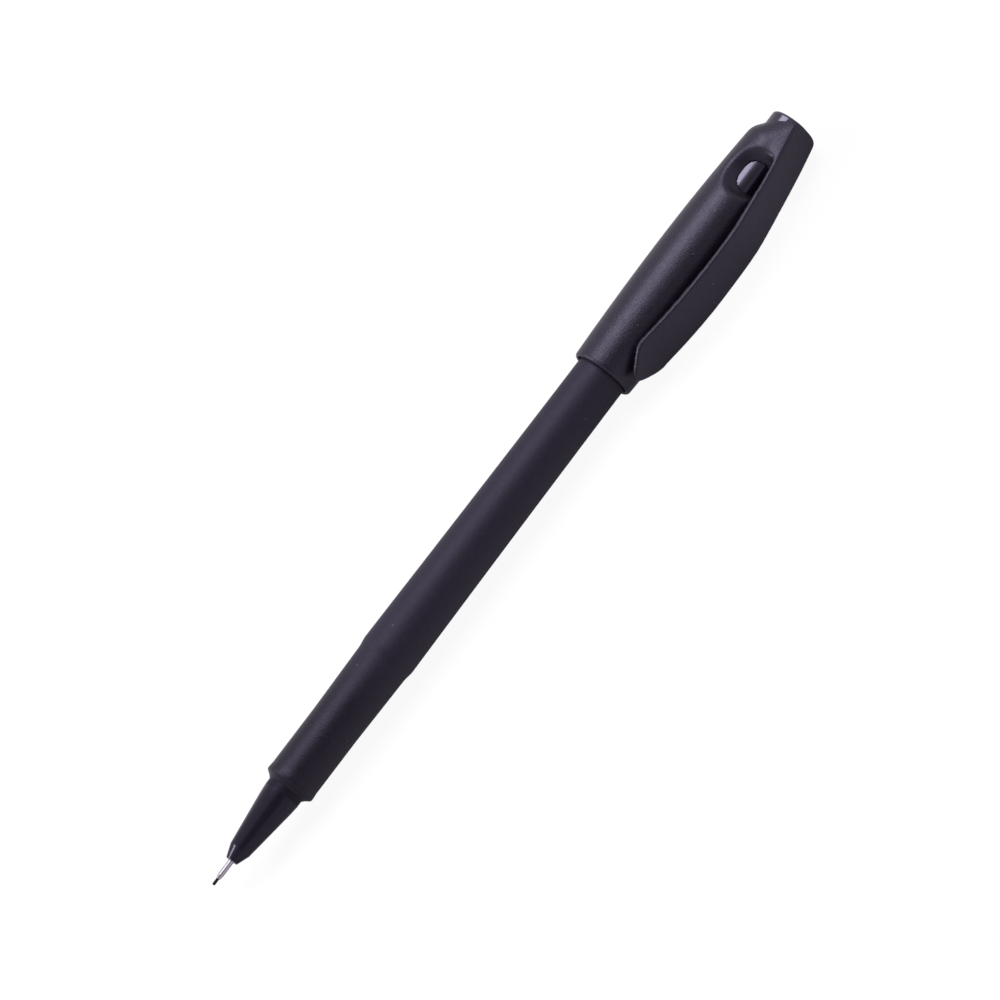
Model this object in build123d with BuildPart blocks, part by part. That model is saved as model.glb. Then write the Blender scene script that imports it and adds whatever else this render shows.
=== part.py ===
from build123d import *
import os
from math import acos, atan2, cos, hypot, pi, radians, sin, tan

# A fineliner pen with its cap posted on the tail, in millimetres.
# The pen's axis is X: the nib points to -X and the cap sits at +X.
# The clip stands out towards -Y, and the origin is the middle of the cylindrical grip.

os.makedirs("parts", exist_ok=True)

# Fits and allowances
press_gap = 0.02  # radial room between pieces that are pressed together
turn_gap = 0.03  # radial room between the inner cap and the shell that turns on it
post_gap = 0.04  # radial room between the cap's ribs and the barrel's tail
seal_gap = 0.03  # radial room between the inner cap and the nose when the pen is capped
stop_gap = 0.3  # room left between the barrel's tail and the inner cap's rim
overrun = 1.0  # how far a cut runs past the faces that it opens

# Nib: a plastic point in a steel sleeve
point_radius = 0.27
point_length = 1.3
point_round = 0.2
sleeve_radius = 0.5
sleeve_length = 3.8
sleeve_taper_length = 0.8
sleeve_front_wall = 0.06
sleeve_seat_length = 6.0

# Nose section
nose_front_radius = 1.1
nose_edge_radius = 1.95
nose_radius = 3.32
nose_chamfer_length = 2.3
nose_taper_length = 11.05
nose_land_length = 1.7
nose_edge_round = 0.6
shank_length = 9.0
shank_chamfer = 0.4
vent_count = 3
vent_width = 0.7
vent_depth = 0.3

# Ink feed
wick_radius = 1.0
wick_reach = 8.0  # how far the wick runs into the reservoir
wick_point_length = 0.6
film_thickness = 0.12
film_gap = 0.06

# Barrel, outside
lip_wall = 0.1
collar_radius = 4.58
grip_radius = 4.52
step_front_radius = 4.75
barrel_radius = 5.0
tail_radius = 4.59
front_chamfer_length = 1.1
collar_length = 0.8
collar_ease_length = 1.3
grip_length = 10.5
grip_flare_length = 13.3
step_length = 1.6
body_taper_length = 55.1
body_hollow = 0.045  # how far the long taper dips below a straight line
tail_length = 31.5
front_round = 0.5
step_round = 4.0
tail_round = 0.15

# Barrel, inside
barrel_wall = 1.09
ledge_height = 0.7
ledge_length = 1.0
reservoir_end_gap = 0.5

# Tail plug
plug_flange_inset = 0.2
plug_flange_length = 1.0
plug_stem_length = 5.0
plug_wall = 1.0
plug_floor = 1.2
plug_round = 0.4

# Inner cap
inner_cap_wall = 0.5
nib_room = 2.15  # space left ahead of the nib when the pen is capped
head_length = 4.6
head_round = 0.6
seal_lead = 0.3
bead_from_rim = 4.0
bead_width = 1.2
bead_height = 0.12

# Cap shell
mouth_overlap = 0.8  # how far the capped mouth rides up the barrel's step
cap_bore_gap = 0.1  # radial room between the cap's bore and the front of the step
mouth_wall = 0.78
belly_wall = 1.29
belly_from_mouth = 24.3
shoulder_from_end = 4.75
shoulder_length = 1.7
shoulder_drop = 1.28
collar_wall = 0.17
mouth_round = 0.55
mouth_lead = 0.3
shoulder_round = 3.4
collar_round = 1.0
end_slant = 23.4  # degrees that the shell's end leans back, away from the clip
rim_step_height = 2.3  # height above the axis where the slanted rim ends at the clip's root
rim_drop = 1.17  # how far the slanted rim lies below the root's end there
rim_recess = 0.1
rib_from_end = 3.0
rib_width = 1.6

# Clip
clip_thickness = 0.95
clip_gap = 1.91  # space under the clip at the cap's belly
clip_tip_inset = 2.6
clip_heel_rise = 1.79
clip_heel_from_tip = 5.1
clip_heel_round = 10.0
clip_tip_curl = 0.8  # how far the free end curls up above the heel
clip_bend_from_belly = 8.0
clip_bend_drop = 0.23
clip_bend_round = 12.0
clip_root_bow = 0.36  # how far the clip's back stretch bulges above a straight line
clip_end_wall = 0.2
clip_pad_gap = 0.15
clip_pad_radius = 0.6
clip_pad_width = 4.0
clip_width = 7.58
clip_middle_narrowing = 0.12
clip_end_narrowing = 1.16
clip_end_bulge = 0.5
clip_corner_round = 0.75
clip_edge_round = 0.35
outer_share = 0.9  # how squarely a face has to point out to count as the clip's outer one
tongue_length = 4.4
tongue_round = 1.5
tongue_corner_round = 0.6
tongue_middle_length_share = 0.4
tongue_middle_width_share = 0.63

# Eyelet under the clip's root
eyelet_from_end = 12.4
eyelet_height = 5.2
eyelet_waist_radius = 2.6
eyelet_mouth_radius = 5.9
eyelet_waist_round = 3.0
eyelet_rim_round = 0.6
flank_inset = 0.08  # how far inside the round body the root's sides start
root_flare_share = 0.35  # how much of the root's length its sides take to lean out
root_section_shares = (0, 0.1, 0.2, 0.3, 0.4, 0.52, 0.58, 0.64, 0.7, 0.76, 0.84, 0.9, 0.94, 0.97, 0.99)
clip_root_share = 0.72  # where the clip leaves its root, along the eyelet's waist radius

# Stations along the pen, from the middle of the grip
x_grip_front = -grip_length / 2
x_grip_back = grip_length / 2
x_collar_back = x_grip_front - collar_ease_length
x_collar_front = x_collar_back - collar_length
x_front = x_collar_front - front_chamfer_length
x_nose_land = x_front - nose_land_length
x_nose_edge = x_nose_land - nose_taper_length
x_nose_front = x_nose_edge - nose_chamfer_length
x_sleeve_front = x_nose_front - sleeve_length
x_tip = x_sleeve_front - point_length
x_sleeve_back = x_nose_front + sleeve_seat_length
x_shank_back = x_front + shank_length
x_ledge_back = x_shank_back + ledge_length
x_step = x_grip_back + grip_flare_length
x_step_back = x_step + step_length
x_tail = x_step_back + body_taper_length
x_barrel_back = x_tail + tail_length
x_plug_back = x_barrel_back + plug_flange_length
x_reservoir = x_ledge_back + reservoir_end_gap
x_reservoir_back = x_barrel_back - plug_stem_length - reservoir_end_gap

# The cap's stations follow from where it stops on the tail, and from the pen that it has to cover
x_rim = x_plug_back + stop_gap
x_mouth = x_rim - (x_step - x_front) - mouth_overlap
x_cavity_end = x_rim + (x_front - x_tip) + nib_room
x_cap_end = x_cavity_end + head_length
x_belly = x_mouth + belly_from_mouth
x_shoulder = x_cap_end - shoulder_from_end
x_shoulder_back = x_shoulder + shoulder_length
x_eyelet = x_cap_end - eyelet_from_end
x_clip_tip = x_mouth + clip_tip_inset
x_tongue = x_clip_tip + tongue_length
x_heel = x_clip_tip + clip_heel_from_tip
x_bend = x_belly + clip_bend_from_belly
x_shell_end = x_cap_end - rim_recess
x_clip_root = x_eyelet + clip_root_share * eyelet_waist_radius

# Radii that follow from the fits
sleeve_bore_radius = point_radius + press_gap
seat_radius = nose_radius + press_gap
lip_radius = seat_radius + lip_wall
ledge_radius = nose_radius - ledge_height
bore_radius = tail_radius - barrel_wall
film_radius = bore_radius - film_gap
film_bore_radius = film_radius - film_thickness
reservoir_radius = film_bore_radius - press_gap
wick_bore_radius = wick_radius + press_gap
stem_radius = bore_radius - press_gap
flange_radius = tail_radius - plug_flange_inset
seal_radius = nose_radius + seal_gap
inner_cap_radius = seal_radius + inner_cap_wall
bead_radius = inner_cap_radius + bead_height
inner_bore_radius = inner_cap_radius + turn_gap
groove_radius = bead_radius + turn_gap
cap_bore_radius = step_front_radius + cap_bore_gap
rib_radius = tail_radius + post_gap
mouth_radius = cap_bore_radius + mouth_wall
belly_radius = cap_bore_radius + belly_wall
cap_collar_radius = inner_bore_radius + collar_wall
shoulder_radius = cap_collar_radius + shoulder_drop

# Widths of the clip behind its free end
clip_middle_width = clip_width - clip_middle_narrowing
clip_end_width = clip_width - clip_end_narrowing

# Heights of the clip's outer face above the pen's axis
clip_heel_height = mouth_radius + clip_heel_rise
clip_tip_height = clip_heel_height + clip_tip_curl
clip_crest_height = belly_radius + clip_gap + clip_thickness
clip_bend_height = clip_crest_height - clip_bend_drop
clip_end_height = inner_bore_radius + clip_end_wall


def nearest(vertices, x, radius):
    """The vertex of a profile that lies nearest a station and a radius."""
    return vertices.sort_by_distance((x, radius))[0]


def ring_points(x, width, base, crest):
    """The four corners of a ring's section: a low trapezium from base to crest and back."""
    return [
        (x - width / 2, base),
        (x - width / 4, crest),
        (x + width / 4, crest),
        (x + width / 2, base),
    ]


# Nib point: a thin plastic rod with a rounded writing end, held in the sleeve
with BuildPart() as nib_point:
    with BuildSketch() as point_profile:
        with BuildLine():
            Polyline(
                (x_tip, 0),
                (x_tip, point_radius),
                (x_sleeve_back, point_radius),
                (x_sleeve_back, 0),
                close=True,
            )
        make_face()
        fillet(nearest(point_profile.vertices(), x_tip, point_radius), point_round)
    revolve(axis=Axis.X)

# Nib sleeve: a steel tube drawn in at the front, seated in the nose
with BuildPart() as nib_sleeve:
    with BuildSketch():
        with BuildLine():
            Polyline(
                (x_sleeve_front, sleeve_bore_radius),
                (x_sleeve_front, sleeve_bore_radius + sleeve_front_wall),
                (x_sleeve_front + sleeve_taper_length, sleeve_radius),
                (x_sleeve_back, sleeve_radius),
                (x_sleeve_back, sleeve_bore_radius),
                close=True,
            )
        make_face()
    revolve(axis=Axis.X)

# Nose section: a tapered nose with a shank that pushes into the barrel, and vent grooves along the shank
with BuildPart() as nose_section:
    with BuildSketch() as nose_profile:
        with BuildLine():
            Polyline(
                (x_nose_front, sleeve_radius + press_gap),
                (x_nose_front, nose_front_radius),
                (x_nose_edge, nose_edge_radius),
                (x_nose_land, nose_radius),
                (x_shank_back - shank_chamfer, nose_radius),
                (x_shank_back, nose_radius - shank_chamfer),
                (x_shank_back, wick_bore_radius),
                (x_sleeve_back, wick_bore_radius),
                (x_sleeve_back, sleeve_radius + press_gap),
                close=True,
            )
        make_face()
        fillet(nearest(nose_profile.vertices(), x_nose_edge, nose_edge_radius), nose_edge_round)
    revolve(axis=Axis.X)
    with BuildSketch(Plane.YZ.offset(x_front + nose_land_length)):
        with PolarLocations(nose_radius, vent_count):
            Rectangle(vent_depth * 2, vent_width)
    extrude(amount=shank_length, mode=Mode.SUBTRACT)

# Feed wick: a pointed fibre rod that carries ink from the reservoir to the back of the nib
with BuildPart() as feed_wick:
    with BuildSketch():
        with BuildLine():
            Polyline(
                (x_sleeve_back, 0),
                (x_sleeve_back, wick_radius),
                (x_reservoir + wick_reach - wick_point_length, wick_radius),
                (x_reservoir + wick_reach, wick_radius - wick_point_length),
                (x_reservoir + wick_reach, 0),
                close=True,
            )
        make_face()
    revolve(axis=Axis.X)

# Ink reservoir: a rod of fibre with a hole at the front for the wick
with BuildPart() as ink_reservoir:
    with BuildSketch():
        with BuildLine():
            Polyline(
                (x_reservoir, wick_bore_radius),
                (x_reservoir, reservoir_radius),
                (x_reservoir_back, reservoir_radius),
                (x_reservoir_back, 0),
                (x_reservoir + wick_reach + press_gap, 0),
                (x_reservoir + wick_reach + press_gap, wick_bore_radius),
                close=True,
            )
        make_face()
    revolve(axis=Axis.X)

# Reservoir film: the clear wrap that keeps the ink inside the fibre
with BuildPart() as reservoir_film:
    with BuildSketch():
        with BuildLine():
            Polyline(
                (x_reservoir, film_bore_radius),
                (x_reservoir, film_radius),
                (x_reservoir_back, film_radius),
                (x_reservoir_back, film_bore_radius),
                close=True,
            )
        make_face()
    revolve(axis=Axis.X)

# Barrel: one long tube with a cylindrical grip, a step for the cap and a tail that the cap posts on
with BuildPart() as barrel:
    with BuildSketch() as barrel_profile:
        with BuildLine():
            Polyline(
                (x_front, seat_radius),
                (x_front, lip_radius),
                (x_collar_front, collar_radius),
                (x_collar_back, collar_radius),
                (x_grip_front, grip_radius),
                (x_grip_back, grip_radius),
                (x_step, step_front_radius),
                (x_step_back, barrel_radius),
            )
            ThreePointArc(
                (x_step_back, barrel_radius),
                ((x_step_back + x_tail) / 2, (barrel_radius + tail_radius) / 2 - body_hollow),
                (x_tail, tail_radius),
            )
            Polyline(
                (x_tail, tail_radius),
                (x_barrel_back, tail_radius),
                (x_barrel_back, bore_radius),
                (x_ledge_back, bore_radius),
                (x_ledge_back, ledge_radius),
                (x_shank_back, ledge_radius),
                (x_shank_back, seat_radius),
                (x_front, seat_radius),
            )
        make_face()
        fillet(nearest(barrel_profile.vertices(), x_collar_front, collar_radius), front_round)
        fillet(nearest(barrel_profile.vertices(), x_step, step_front_radius), step_round)
        fillet(nearest(barrel_profile.vertices(), x_step_back, barrel_radius), step_round)
        fillet(nearest(barrel_profile.vertices(), x_barrel_back, tail_radius), tail_round)
    revolve(axis=Axis.X)

# Tail plug: a hollow plug that closes the barrel's back end
with BuildPart() as tail_plug:
    with BuildSketch() as plug_profile:
        with BuildLine():
            Polyline(
                (x_plug_back, 0),
                (x_plug_back, flange_radius),
                (x_barrel_back, flange_radius),
                (x_barrel_back, stem_radius),
                (x_barrel_back - plug_stem_length, stem_radius),
                (x_barrel_back - plug_stem_length, stem_radius - plug_wall),
                (x_plug_back - plug_floor, stem_radius - plug_wall),
                (x_plug_back - plug_floor, 0),
                close=True,
            )
        make_face()
        fillet(nearest(plug_profile.vertices(), x_plug_back, flange_radius), plug_round)
    revolve(axis=Axis.X)

# Inner cap: a glossy thimble that seals the nose, with a solid head that shows at the cap's end
with BuildPart() as inner_cap:
    with BuildSketch() as inner_cap_profile:
        with BuildLine():
            Polyline(
                (x_rim, seal_radius + seal_lead),
                (x_rim, inner_cap_radius),
                *ring_points(x_rim + bead_from_rim, bead_width, inner_cap_radius, bead_radius),
                (x_cap_end, inner_cap_radius),
                (x_cap_end, 0),
                (x_cavity_end, 0),
                (x_cavity_end, seal_radius),
                (x_rim + seal_lead, seal_radius),
                close=True,
            )
        make_face()
        fillet(nearest(inner_cap_profile.vertices(), x_cap_end, inner_cap_radius), head_round)
    revolve(axis=Axis.X)

def clip_section(depth, base):
    """The clip's side view from a face that lies a depth under its outer one, down to a base line."""
    with BuildSketch() as section:
        with BuildLine():
            TangentArc(
                (x_heel, depth - clip_heel_height),
                (x_clip_tip, depth - clip_tip_height),
                tangent=(-1, 0),
            )
            TangentArc(
                (x_belly, depth - clip_crest_height),
                (x_heel, depth - clip_heel_height),
                tangent=(-1, 0),
            )
            TangentArc(
                (x_belly, depth - clip_crest_height),
                (x_bend, depth - clip_bend_height),
                tangent=(1, 0),
            )
            SagittaArc(
                (x_bend, depth - clip_bend_height),
                (x_cap_end, depth - clip_end_height),
                -clip_root_bow,
            )
            Polyline(
                (x_cap_end, depth - clip_end_height),
                (x_cap_end, base),
                (x_clip_tip, base),
                (x_clip_tip, depth - clip_tip_height),
            )
        make_face()
        fillet(nearest(section.vertices(), x_heel, depth - clip_heel_height), clip_heel_round)
        fillet(nearest(section.vertices(), x_bend, depth - clip_bend_height), clip_bend_round)
    return section.sketch


def reach(profile, x, side):
    """How far a flat profile reaches from the X axis at a station, on its +Y or -Y side."""
    return (profile & Line((x, 0), (x, side * (clip_crest_height + overrun)))).edge().length


# The clip's side view down to the pen's axis, and the space under the clip's inner face
over_axis = clip_section(0, 0)
under_clip = clip_section(clip_thickness, overrun)

# Clip blank: the side view cut to the clip's outline, with its outer rim rounded
with BuildPart() as clip_blank:
    extrude(over_axis, amount=clip_width, both=True)
    with BuildSketch(Plane.XZ) as clip_outline:
        with BuildLine():
            for side in (1, -1):
                ThreePointArc(
                    (x_shell_end - clip_end_bulge, side * clip_end_width / 2),
                    (x_belly, side * clip_middle_width / 2),
                    (x_tongue, side * clip_width / 2),
                )
                ThreePointArc(
                    (x_tongue, side * clip_width / 2),
                    (
                        x_clip_tip + tongue_length * tongue_middle_length_share,
                        side * clip_width / 2 * tongue_middle_width_share,
                    ),
                    (x_clip_tip, 0),
                )
            ThreePointArc(
                (x_shell_end - clip_end_bulge, clip_end_width / 2),
                (x_shell_end, 0),
                (x_shell_end - clip_end_bulge, -clip_end_width / 2),
            )
        make_face()
        fillet(nearest(clip_outline.vertices(), x_clip_tip, 0), tongue_round)
        for side in (1, -1):
            end_corner = (x_shell_end - clip_end_bulge, side * clip_end_width / 2)
            fillet(nearest(clip_outline.vertices(), *end_corner), clip_corner_round)
            fillet(nearest(clip_outline.vertices(), x_tongue, side * clip_width / 2), tongue_corner_round)
    extrude(amount=clip_crest_height + overrun, mode=Mode.INTERSECT)
    outer_faces = faces().filter_by(lambda face: -face.normal_at().Y > outer_share)
    fillet(outer_faces.edges().filter_by(Axis.Z, reverse=True), clip_edge_round)

# Clip: the springy arm up to its root, with a pad under its free end that stays just clear of the cap
with BuildPart() as clip:
    add(clip_blank.part)
    split(bisect_by=Plane.YZ.offset(x_clip_root), keep=Keep.BOTTOM)
    extrude(under_clip, amount=clip_width, both=True, mode=Mode.SUBTRACT)
    with BuildSketch():
        with Locations((x_heel, clip_thickness - clip_heel_height)):
            Circle(clip_pad_radius)
    extrude(amount=clip_pad_width / 2, both=True)
    with BuildSketch():
        with BuildLine():
            TangentArc(
                (x_belly, belly_radius + clip_pad_gap),
                (x_mouth, mouth_radius + clip_pad_gap),
                tangent=(-1, 0),
            )
            Polyline(
                (x_mouth, mouth_radius + clip_pad_gap),
                (x_mouth, 0),
                (x_belly, 0),
                (x_belly, belly_radius + clip_pad_gap),
            )
        make_face()
    revolve(axis=Axis.X, mode=Mode.SUBTRACT)

# Eyelet: a hole across the cap that narrows inwards from both sides
with BuildPart() as eyelet:
    with BuildSketch(Plane.XZ.offset(eyelet_height)) as eyelet_profile:
        with BuildLine():
            Polyline(
                (x_eyelet, -belly_radius),
                (x_eyelet + eyelet_mouth_radius, -belly_radius),
                (x_eyelet + eyelet_waist_radius, 0),
                (x_eyelet + eyelet_mouth_radius, belly_radius),
                (x_eyelet, belly_radius),
                close=True,
            )
        make_face()
        fillet(nearest(eyelet_profile.vertices(), x_eyelet + eyelet_waist_radius, 0), eyelet_waist_round)
    revolve(axis=Axis((x_eyelet, -eyelet_height, 0), (0, 0, 1)))

# Eyelet under the root: the same hole, stopped at the clip's inner face
with BuildPart() as eyelet_under_clip:
    add(eyelet.part)
    extrude(under_clip, amount=clip_width, both=True, mode=Mode.INTERSECT)

# The cap's outer profile, from its mouth over the belly and the shoulder to its end
with BuildSketch() as cap_profile:
    with BuildLine():
        TangentArc((x_belly, belly_radius), (x_mouth, mouth_radius), tangent=(-1, 0))
        TangentArc((x_belly, belly_radius), (x_shoulder, shoulder_radius), tangent=(1, 0))
        Polyline(
            (x_shoulder, shoulder_radius),
            (x_shoulder_back, cap_collar_radius),
            (x_shell_end, cap_collar_radius),
            (x_shell_end, 0),
            (x_mouth, 0),
            (x_mouth, mouth_radius),
        )
    make_face()
    fillet(nearest(cap_profile.vertices(), x_mouth, mouth_radius), mouth_round)
    fillet(nearest(cap_profile.vertices(), x_shoulder, shoulder_radius), shoulder_round)
    fillet(nearest(cap_profile.vertices(), x_shoulder_back, cap_collar_radius), collar_round)


def root_section(share):
    """The root's section: its sides stand upright at the seam, then lean out to meet the round body."""
    x = x_clip_root + share * (x_shell_end - x_clip_root)
    hub = reach(cap_profile.sketch, x, 1) - flank_inset
    rise = reach(over_axis, x, -1) - clip_edge_round
    spread = reach(clip_outline.sketch_local, x, 1) - clip_edge_round
    full_lean = atan2(spread, rise) + acos((hub - clip_edge_round) / hypot(rise, spread))
    lean = pi / 2 + (full_lean - pi / 2) * min(share / root_flare_share, 1)
    foot = rise * cos(lean) + spread * sin(lean) + clip_edge_round
    low = Vector(-foot * cos(lean), foot * sin(lean))
    high = Vector(-rise - clip_edge_round * cos(lean), spread + clip_edge_round * sin(lean))
    middle = Vector(-rise - clip_edge_round * cos(lean / 2), spread + clip_edge_round * sin(lean / 2))
    top = Vector(-rise - clip_edge_round, spread)
    with BuildSketch(Plane.YZ.offset(x)) as section:
        with BuildLine():
            Line(low, high)
            ThreePointArc(high, middle, top)
            Line(top, (top.X, 0))
            mirror(about=Plane.XZ)
            Line(low, (low.X, -low.Y))
        make_face()
    return section.sketch


# Clip root: a ruled solid through sections from the clip's seam to the shell's end
with BuildPart() as clip_root:
    loft([root_section(share) for share in root_section_shares], ruled=True)

# Cap shell: the round body with the clip's root, its slanted end, its bore and the eyelet
with BuildPart() as cap_shell:
    revolve(cap_profile.sketch, axis=Axis.X)
    add(eyelet.part, mode=Mode.SUBTRACT)
    fillet(edges(Select.NEW).filter_by(GeomType.CIRCLE, reverse=True), eyelet_rim_round)
    add(clip_root.part)
    add(eyelet_under_clip.part, mode=Mode.SUBTRACT)
    x_rim_step = x_shell_end - rim_drop
    x_rim_low = x_rim_step - (rim_step_height + belly_radius) * tan(radians(end_slant))
    with BuildSketch():
        with BuildLine():
            Polyline(
                (x_shell_end + overrun, -rim_step_height),
                (x_rim_step, -rim_step_height),
                (x_rim_low, belly_radius),
                (x_shell_end + overrun, belly_radius),
                close=True,
            )
        make_face()
    extrude(amount=belly_radius, both=True, mode=Mode.SUBTRACT)
    with BuildSketch():
        with BuildLine():
            Polyline(
                (x_mouth - overrun, 0),
                (x_mouth - overrun, cap_bore_radius + mouth_lead + overrun),
                (x_mouth + mouth_lead, cap_bore_radius),
                *ring_points(x_mouth + rib_from_end, rib_width, cap_bore_radius, rib_radius),
                *ring_points(x_rim - rib_from_end, rib_width, cap_bore_radius, rib_radius),
                (x_rim, cap_bore_radius),
                (x_rim, inner_bore_radius),
                *ring_points(x_rim + bead_from_rim, bead_width, inner_bore_radius, groove_radius),
                (x_cap_end + overrun, inner_bore_radius),
                (x_cap_end + overrun, 0),
                close=True,
            )
        make_face()
    revolve(axis=Axis.X, mode=Mode.SUBTRACT)

pieces = {
    "nib_point": nib_point,
    "nib_sleeve": nib_sleeve,
    "nose_section": nose_section,
    "feed_wick": feed_wick,
    "ink_reservoir": ink_reservoir,
    "reservoir_film": reservoir_film,
    "barrel": barrel,
    "tail_plug": tail_plug,
    "inner_cap": inner_cap,
    "clip": clip,
    "cap_shell": cap_shell,
}
for name, piece in pieces.items():
    piece.part.label = name
    export_step(piece.part, f"parts/{name}.step")
    print(name, round(piece.part.volume, 2), piece.part.bounding_box())
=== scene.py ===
# %% [markdown]
# # A fineliner pen with its cap posted on the tail
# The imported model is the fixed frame: it holds every piece at its real size and place, in metres.
# The pen lies along X with its nib at -X, its clip stands out towards -Y, and +Z is up.
# The lesson sets the camera and the light, softens the moulded cap and clip, turns the barrel anew
# and draws out the nose, and then gives each piece the surface of the real one.

from math import copysign, cos, pi, radians, sin, sqrt, tan

import bpy
from mathutils import Matrix, Vector

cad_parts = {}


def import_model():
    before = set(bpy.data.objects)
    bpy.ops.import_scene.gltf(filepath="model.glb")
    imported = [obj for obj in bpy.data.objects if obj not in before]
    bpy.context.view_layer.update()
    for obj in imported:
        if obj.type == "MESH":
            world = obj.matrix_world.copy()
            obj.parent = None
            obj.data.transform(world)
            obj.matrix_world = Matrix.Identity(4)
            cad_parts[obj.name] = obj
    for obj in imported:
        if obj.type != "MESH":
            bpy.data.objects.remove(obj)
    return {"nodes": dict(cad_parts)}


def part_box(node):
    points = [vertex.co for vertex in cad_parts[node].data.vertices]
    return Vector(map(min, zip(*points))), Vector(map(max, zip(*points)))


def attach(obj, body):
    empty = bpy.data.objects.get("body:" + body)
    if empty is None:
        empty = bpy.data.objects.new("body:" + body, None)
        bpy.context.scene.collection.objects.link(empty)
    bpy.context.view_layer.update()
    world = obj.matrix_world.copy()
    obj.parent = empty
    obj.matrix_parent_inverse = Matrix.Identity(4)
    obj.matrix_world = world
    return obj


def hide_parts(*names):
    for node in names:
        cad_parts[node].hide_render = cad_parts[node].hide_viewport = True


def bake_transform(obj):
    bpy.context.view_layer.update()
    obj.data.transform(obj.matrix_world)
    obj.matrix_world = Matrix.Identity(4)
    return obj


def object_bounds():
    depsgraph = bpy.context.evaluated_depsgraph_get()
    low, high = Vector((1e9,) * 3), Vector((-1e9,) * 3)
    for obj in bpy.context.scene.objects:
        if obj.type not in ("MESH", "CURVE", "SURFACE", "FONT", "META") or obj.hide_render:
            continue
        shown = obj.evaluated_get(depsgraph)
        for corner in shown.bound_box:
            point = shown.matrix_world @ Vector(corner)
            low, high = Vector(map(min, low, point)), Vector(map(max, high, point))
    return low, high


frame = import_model()
bpy.ops.object.select_all(action="DESELECT")
cad_box = [list(corner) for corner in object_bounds()]
nodes = frame["nodes"]
scene_collection = bpy.context.scene.collection
MM = 0.001
print("CAD box in mm:", [[round(value / MM, 2) for value in corner] for corner in cad_box])

# %% [markdown]
# ## The camera
# The pen is seen from above its clip's side, with the nib end a little nearer than the cap.
# Three angles say this: how far the axis leans towards the camera, how far the clip is turned
# away from it, and how steep the pen stands in the picture. The lens is long, because the pen
# shows almost no perspective.

# %% Place the camera
AXIS_LEAN = radians(9.5)
CLIP_TURN = radians(42)
PICTURE_SLOPE = radians(52.7)
PIXELS_PER_MM = 5.93
PICTURE_PIXELS = 1000
CAMERA_DISTANCE = 1.5
CAMERA_REACH = 10
SENSOR_MM = 36
PICTURE_CENTRE_X = 52.74 * MM
PICTURE_CENTRE_ACROSS = -0.85 * MM

axis = Vector((1, 0, 0))
to_camera = Vector((-sin(AXIS_LEAN), -cos(AXIS_LEAN) * cos(CLIP_TURN), cos(AXIS_LEAN) * sin(CLIP_TURN)))
across = axis.cross(to_camera).normalized()
along = to_camera.cross(across)
picture_right = cos(PICTURE_SLOPE) * along + sin(PICTURE_SLOPE) * across
picture_up = sin(PICTURE_SLOPE) * along - cos(PICTURE_SLOPE) * across
target = PICTURE_CENTRE_X * axis + PICTURE_CENTRE_ACROSS * across

camera_data = bpy.data.cameras.new("camera")
camera_data.sensor_width = SENSOR_MM
camera_data.lens = SENSOR_MM * CAMERA_DISTANCE / MM * PIXELS_PER_MM / PICTURE_PIXELS
camera_data.clip_end = CAMERA_REACH
camera = bpy.data.objects.new("camera", camera_data)
scene_collection.objects.link(camera)
turn = Matrix((picture_right, picture_up, to_camera)).transposed()
camera.matrix_world = Matrix.Translation(target + CAMERA_DISTANCE * to_camera) @ turn.to_4x4()
bpy.context.scene.camera = camera
print("lens", round(camera_data.lens, 1), "mm, looking at", [round(value / MM, 2) for value in target])

# %% [markdown]
# ## Helpers for shader nodes
# The floor, the world and all finishes are built from the same few nodes, so each kind of node
# gets a function of its own. An operand can be the output of another node or a plain value.

# %% Add nodes
def feed(tree, value, socket):
    """Links a socket to an input, or sets the input to a plain value."""
    if isinstance(value, bpy.types.NodeSocket):
        tree.links.new(value, socket)
    else:
        socket.default_value = value


def math(tree, operation, *values):
    """Adds a math node."""
    node = tree.nodes.new("ShaderNodeMath")
    node.operation = operation
    for socket, value in zip(node.inputs, values):
        feed(tree, value, socket)
    return node.outputs[0]


def ramp(tree, value, start, end, low=0.0, high=1.0):
    """Adds a smooth ramp from low at start to high at end."""
    node = tree.nodes.new("ShaderNodeMapRange")
    node.interpolation_type = "SMOOTHSTEP"
    for label, number in (
        ("Value", value), ("From Min", start), ("From Max", end), ("To Min", low), ("To Max", high)
    ):
        feed(tree, number, node.inputs[label])
    return node.outputs["Result"]


def mix_colours(tree, factor, first, second, kind="MIX"):
    """Adds a mix of two colours."""
    node = tree.nodes.new("ShaderNodeMix")
    node.data_type = "RGBA"
    node.blend_type = kind
    for label, value in (("Factor", factor), ("A", first), ("B", second)):
        feed(tree, value, node.inputs[label])
    return node.outputs["Result"]


def object_place(tree):
    """Gives the place on the object."""
    return tree.nodes.new("ShaderNodeTexCoord").outputs["Object"]


def place_on(tree, axis_name):
    """Gives the place along one axis; X runs along the pen."""
    split = tree.nodes.new("ShaderNodeSeparateXYZ")
    tree.links.new(object_place(tree), split.inputs[0])
    return split.outputs[axis_name]


# %% Tell rays apart
ROOM_TINT = (0.94, 0.89, 1.0, 1)
WHITE = (1, 1, 1, 1)


def by_ray(tree, seen, mirrored, other):
    """Gives one value to camera and transmission rays, one to glossy rays and one to the others."""
    path = tree.nodes.new("ShaderNodeLightPath")
    direct = math(tree, "MAXIMUM", path.outputs["Is Camera Ray"], path.outputs["Is Transmission Ray"])
    shiny = math(tree, "MULTIPLY", path.outputs["Is Glossy Ray"], math(tree, "SUBTRACT", 1.0, direct))
    rest = math(tree, "SUBTRACT", 1.0, math(tree, "ADD", direct, shiny))
    total = math(tree, "MULTIPLY", direct, seen)
    total = math(tree, "MULTIPLY_ADD", shiny, mirrored, total)
    return math(tree, "MULTIPLY_ADD", rest, other, total)


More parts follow.
